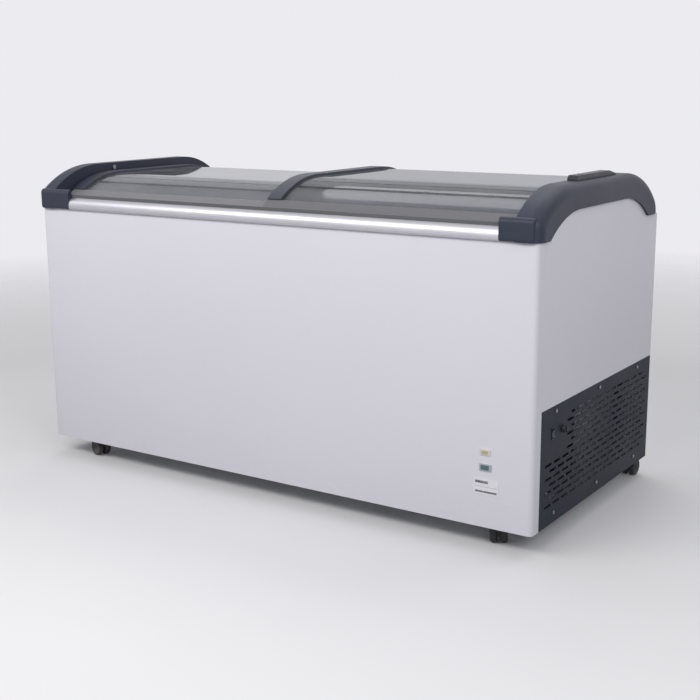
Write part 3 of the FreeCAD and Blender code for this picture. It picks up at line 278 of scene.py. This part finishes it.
def label_mat(name):
    """White film with two plain dark bars and a thin rule; no lettering."""
    g = G(name)
    x, z = g.axis(0), g.axis(2)

    def band(v, lo, hi):
        return g.math("MULTIPLY", g.math("GREATER_THAN", v, lo), g.math("LESS_THAN", v, hi))
    b1 = g.math("MULTIPLY", band(z, 0.1545, 0.1605), band(x, 0.600, 0.632))
    b2 = g.math("MULTIPLY", band(z, 0.1330, 0.1375), band(x, 0.600, 0.654))
    b3 = g.math("MULTIPLY", band(z, 0.1462, 0.1474), band(x, 0.600, 0.654))
    ink = g.math("ADD", g.math("ADD", b1, b2), g.math("MULTIPLY", b3, 0.5), clamp=True)
    wear = g.noise(260.0, 3.0, 0.6)
    ink = g.math("MULTIPLY", ink, g.rng(wear, 0.65, 1.0, 0.3, 0.6), clamp=True)
    paper = g.ramp(g.noise(60.0, 4.0), [(0.3, (0.83, 0.83, 0.86)), (0.7, (0.90, 0.90, 0.93))])
    col = g.mix(ink, paper, (0.10, 0.11, 0.14))
    g.surface(col, g.rng(wear, 0.30, 0.45, 0.3, 0.7), g.bump(wear, 0.05, 0.0001), 0.0, 0.1)
    return g.m


def lens_mat(name, deep, light, rough, frame_box, rim):
    """Coloured lens inside a pale moulded rim; frame_box is the lens window (x0, x1, z0, z1)."""
    g = G(name)
    cell = g.noise(320.0, 2.0, 0.5)
    big = g.noise(70.0, 3.0, 0.6)
    col = g.ramp(big, [(0.30, deep), (0.70, light)])
    col = g.mix(g.rng(cell, 0.0, 0.3, 0.45, 0.7), col, shade(light, 1.2))
    x0, x1, z0, z1 = frame_box
    x, z = g.axis(0), g.axis(2)
    inx = g.math("MULTIPLY", g.rng(x, 0.0, 1.0, x0 - 0.0004, x0 + 0.0004), g.rng(x, 1.0, 0.0, x1 - 0.0004, x1 + 0.0004), clamp=True)
    inz = g.math("MULTIPLY", g.rng(z, 0.0, 1.0, z0 - 0.0004, z0 + 0.0004), g.rng(z, 1.0, 0.0, z1 - 0.0004, z1 + 0.0004), clamp=True)
    inside = g.math("MULTIPLY", inx, inz, clamp=True)
    edge = g.ramp(big, [(0.3, shade(rim, 0.93)), (0.7, shade(rim, 1.04))])
    col = g.mix(inside, edge, col)
    ro = g.math("ADD", g.rng(cell, rough, rough + 0.12, 0.3, 0.7), g.rng(inside, 0.25, 0.0), clamp=True)
    step = g.bump(inside, 0.6, 0.0008, g.bevel(0.0006))
    g.surface(col, ro, g.bump(cell, 0.08, 0.0002, step), 0.0, 0.3)
    return g.m


M = {}
M["white_paint"] = paint_mat("white_paint", (0.80, 0.788, 0.850))
M["galvanised"] = galv_mat("galvanised", (0.60, 0.62, 0.64))
M["liner_sheet"] = stucco_mat("liner_sheet", (0.74, 0.76, 0.79))
M["foam"] = plain("foam", (0.80, 0.70, 0.46), 0.85, 0, 0.10, 14.0, 300.0, 0.5, 0.0012)
M["cap_plastic"] = plain("cap_plastic", (0.0225, 0.0285, 0.050), 0.46, 0, 0.10, 5.0, 900.0, 0.22, 0.00022, 0.05, bevel=0.0012, dust=0.16,
                         tone=(0.10, 0.105, 0.13), spec=0.4)
M["track_plastic"] = plain("track_plastic", (0.10, 0.105, 0.115), 0.5, 0, 0.09, 8.0, 800.0, 0.15, 0.0002, stretch=(0.15, 1, 1), dust=0.3)
M["rail_aluminium"] = brushed("rail_aluminium", (0.56, 0.555, 0.59), 0.40, 0, 1300.0, bevel=0.0, bump=0.06)
M["lid_glass"] = glass_mat("lid_glass", (0.70, 0.71, 0.745), 0.13, 7.0)
M["frame_plastic"] = plain("frame_plastic", (0.040, 0.045, 0.064), 0.42, 0, 0.09, 6.0, 850.0, 0.2, 0.0002, bevel=0.001)
M["runner_upper"] = plain("runner_upper", (0.14, 0.14, 0.155), 0.38, 0, 0.08, 6.0, 700.0, 0.12, 0.0002, stretch=(0.12, 1, 1), bevel=0.0006)
M["runner_lower"] = plain("runner_lower", (0.20, 0.20, 0.215), 0.40, 0, 0.06, 6.0, 700.0, 0.12, 0.0002, stretch=(0.12, 1, 1), bevel=0.0006)
M["grille_paint"] = plain("grille_paint", (0.0065, 0.012, 0.0245), 0.50, 0, 0.14, 7.0, 520.0, 0.25, 0.0003, bevel=0.0008, dust=0.18,
                          tone=(0.036, 0.042, 0.052), spec=0.22)
M["screw_steel"] = brushed("screw_steel", (0.34, 0.34, 0.35), 0.34, 2, 2500.0, bevel=0.0004)
M["control_black"] = plain("control_black", (0.020, 0.021, 0.024), 0.40, 0, 0.15, 30.0, 1200.0, 0.2, 0.0002, bevel=0.0005)
M["lamp_lens"] = lens_mat("lamp_lens", (0.42, 0.36, 0.16), (0.60, 0.53, 0.30), 0.18, (0.6160, 0.6330, 0.2235, 0.2310), (0.76, 0.74, 0.68))
M["display_lens"] = lens_mat("display_lens", (0.03, 0.09, 0.11), (0.07, 0.19, 0.22), 0.12, (0.6140, 0.6345, 0.1865, 0.1975), (0.44, 0.46, 0.50))
M["label_film"] = label_mat("label_film")
M["black_enamel"] = plain("black_enamel", (0.018, 0.018, 0.020), 0.24, 0, 0.2, 12.0, 260.0, 0.12, 0.0003, coat=0.5, bevel=0.001)
M["copper"] = brushed("copper", (0.72, 0.40, 0.24), 0.30, 0, 600.0)
M["fin_aluminium"] = brushed("fin_aluminium", (0.66, 0.67, 0.68), 0.36, 1, 900.0)
M["rubber_black"] = plain("rubber_black", (0.024, 0.024, 0.026), 0.62, 0, 0.18, 18.0, 500.0, 0.35, 0.0003, bevel=0.0006, dust=0.7)
M["caster_plastic"] = plain("caster_plastic", (0.022, 0.022, 0.025), 0.36, 0, 0.15, 20.0, 900.0, 0.15, 0.0002, bevel=0.0006, dust=0.35)
M["zinc_steel"] = brushed("zinc_steel", (0.50, 0.50, 0.49), 0.38, 0, 700.0)

for part in frame["record"]["subparts"]:
    ob = NODES[part["node"]]
    ob.data.materials.clear()
    ob.data.materials.append(M[part["material_slot"]])


# ------------------------------------------------------------------ shapes
def solid(name, bm, mat, body, slot, smooth=35.0):
    me = bpy.data.meshes.new(name)
    bmesh.ops.recalc_face_normals(bm, faces=bm.faces)
    bm.to_mesh(me)
    bm.free()
    ob = bpy.data.objects.new(name, me)
    sc.collection.objects.link(ob)
    me.materials.append(mat)
    for p in me.polygons:
        p.use_smooth = True
    me.set_sharp_from_angle(angle=math.radians(smooth))
    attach(ob, body)
    return ob


def bevelled(bm, width, segs=3, limit=30.0):
    edges = [e for e in bm.edges if len(e.link_faces) == 2 and e.calc_face_angle(0.0) > math.radians(limit)]
    bmesh.ops.bevel(bm, geom=edges, offset=width, segments=segs, profile=0.5, affect="EDGES", clamp_overlap=True)


def block(bm, lo, hi):
    r = bmesh.ops.create_cube(bm, size=1.0)
    c = [(a + b) / 2 for a, b in zip(lo, hi)]
    s = [b - a for a, b in zip(lo, hi)]
    for v in r["verts"]:
        v.co = Vector((c[0] + v.co.x * s[0], c[1] + v.co.y * s[1], c[2] + v.co.z * s[2]))
    return r["verts"]


def turned(bm, profile, centre, axis, steps=48):
    """Lathe: profile is (radius, height) pairs along the axis, closed at both ends."""
    ax = Vector(axis).normalized()
    u = ax.orthogonal().normalized()
    w = ax.cross(u)
    c = Vector(centre)
    rings = []
    for r, h in profile:
        if r < 1e-7:
            rings.append([bm.verts.new(c + ax * h)])
        else:
            rings.append([bm.verts.new(c + ax * h + (u * math.cos(2 * math.pi * k / steps) + w * math.sin(2 * math.pi * k / steps)) * r)
                          for k in range(steps)])
    for a, b in zip(rings, rings[1:]):
        for k in range(steps):
            k2 = (k + 1) % steps
            if len(a) == 1 and len(b) > 1:
                bm.faces.new((a[0], b[k], b[k2]))
            elif len(b) == 1 and len(a) > 1:
                bm.faces.new((a[k], a[k2], b[0]))
            elif len(a) > 1:
                bm.faces.new((a[k], a[k2], b[k2], b[k]))


# ------------------------------------------------------------------- stage
floor_bm = bmesh.new()
bmesh.ops.create_grid(floor_bm, x_segments=1, y_segments=1, size=14.0)
fme = bpy.data.meshes.new("floor")
floor_bm.to_mesh(fme)
floor_bm.free()
floor = bpy.data.objects.new("floor", fme)
sc.collection.objects.link(floor)
gf = G("floor_pale")
gp = gf.surface(gf.ramp(gf.noise(0.8, 3.0), [(0.3, (0.80, 0.80, 0.81)), (0.7, (0.83, 0.83, 0.84))]), gf.rng(gf.noise(2.0), 0.6, 0.7), None, 0.0)
dist = gf.n("ShaderNodeVectorMath", operation="LENGTH")
gf.link(gf.co, dist.inputs[0])
# the floor bounces less light up than its own tone would give
lpf = gf.n("ShaderNodeLightPath")
dim = gf.n("ShaderNodeBsdfDiffuse")
dim.inputs["Color"].default_value = (0.28, 0.28, 0.295, 1.0)
calm = gf.n("ShaderNodeMixShader")
gf.link(lpf.outputs["Is Diffuse Ray"], calm.inputs[0])
gf.link(gp.outputs[0], calm.inputs[1])
gf.link(dim.outputs[0], calm.inputs[2])
see = gf.n("ShaderNodeBsdfTransparent")
fade = gf.n("ShaderNodeMixShader")
gf.link(gf.rng(dist.outputs["Value"], 0.0, 1.0, 1.6, 4.6), fade.inputs[0])
gf.link(calm.outputs[0], fade.inputs[1])
gf.link(see.outputs[0], fade.inputs[2])
gf.link(fade.outputs[0], gf.out.inputs["Surface"])
fme.materials.append(gf.m)

w = bpy.data.worlds.new("studio")
sc.world = w
w.use_nodes = True
wt = w.node_tree
wt.nodes.clear()
wo = wt.nodes.new("ShaderNodeOutputWorld")
bgd = wt.nodes.new("ShaderNodeBackground")
lp = wt.nodes.new("ShaderNodeLightPath")
mr = wt.nodes.new("ShaderNodeMapRange")
mr.inputs["To Min"].default_value = 0.86
mr.inputs["To Max"].default_value = 0.36
wt.links.new(lp.outputs["Is Diffuse Ray"], mr.inputs["Value"])
wt.links.new(mr.outputs["Result"], bgd.inputs["Strength"])
bgd.inputs["Color"].default_value = (0.975, 0.965, 1.0, 1.0)
wt.links.new(bgd.outputs[0], wo.inputs["Surface"])


def area(name, loc, target, size, size_y, power, colour=(1, 1, 1)):
    li = bpy.data.lights.new(name, "AREA")
    li.shape = "RECTANGLE"
    li.size, li.size_y = size, size_y
    li.energy = power
    li.color = colour
    ob = bpy.data.objects.new(name, li)
    ob.location = loc
    d = Vector(target) - Vector(loc)
    ob.rotation_euler = d.to_track_quat("-Z", "Y").to_euler()
    sc.collection.objects.link(ob)
    return ob


area("key", (-0.40, -1.95, 1.75), (-0.1, -0.35, 0.66), 2.8, 0.6, 29.0, (1.0, 0.99, 0.975))
area("side_fill", (2.6, -1.9, 1.9), (0.74, -0.2, 0.5), 1.2, 1.2, 25.0, (0.96, 0.97, 1.0))
area("ceiling_soft", (0.2, 1.6, 3.4), (0.2, 0.0, 0.6), 4.6, 1.6, 38.0)


def beam(name, y, z, half, thick):
    """A dark ceiling beam, seen only as a line in the glass."""
    bb = bmesh.new()
    block(bb, (-4.5, y - half, z), (4.5, y + half, z + thick))
    me = bpy.data.meshes.new(name)
    bb.to_mesh(me)
    bb.free()
    ob = bpy.data.objects.new(name, me)
    sc.collection.objects.link(ob)
    me.materials.append(M["control_black"])
    ob.visible_diffuse = False
    ob.visible_shadow = False


beam("beam_a", 3.6, 2.05, 0.05, 0.05)
beam("beam_b", 2.4, 2.3, 0.04, 0.05)
beam("beam_c", 1.2, 2.4, 0.10, 0.05)

cam_d = bpy.data.cameras.new("view")
cam_d.sensor_width = 36.0
cam_d.lens = 1204.206 / 700.0 * 36.0
cam_d.clip_start = 0.05
cam_d.clip_end = 60.0
cam = bpy.data.objects.new("view", cam_d)
sc.collection.objects.link(cam)
yaw, pitch, roll = 0.5891815735, 0.2193482486, -0.0067690821
fwd = Vector((-math.sin(yaw) * math.cos(pitch), math.cos(yaw) * math.cos(pitch), -math.sin(pitch)))
right = Vector((math.cos(yaw), math.sin(yaw), 0.0))
up = right.cross(fwd)
r2 = right * math.cos(roll) + up * math.sin(roll)
u2 = -right * math.sin(roll) + up * math.cos(roll)
mw = Matrix.Identity(4)
for i in range(3):
    mw[i][0], mw[i][1], mw[i][2] = r2[i], u2[i], -fwd[i]
mw[0][3], mw[1][3], mw[2][3] = 1.7894, -2.6274, 1.0266
cam.matrix_world = mw
sc.camera = cam

bpy.context.view_layer.update()
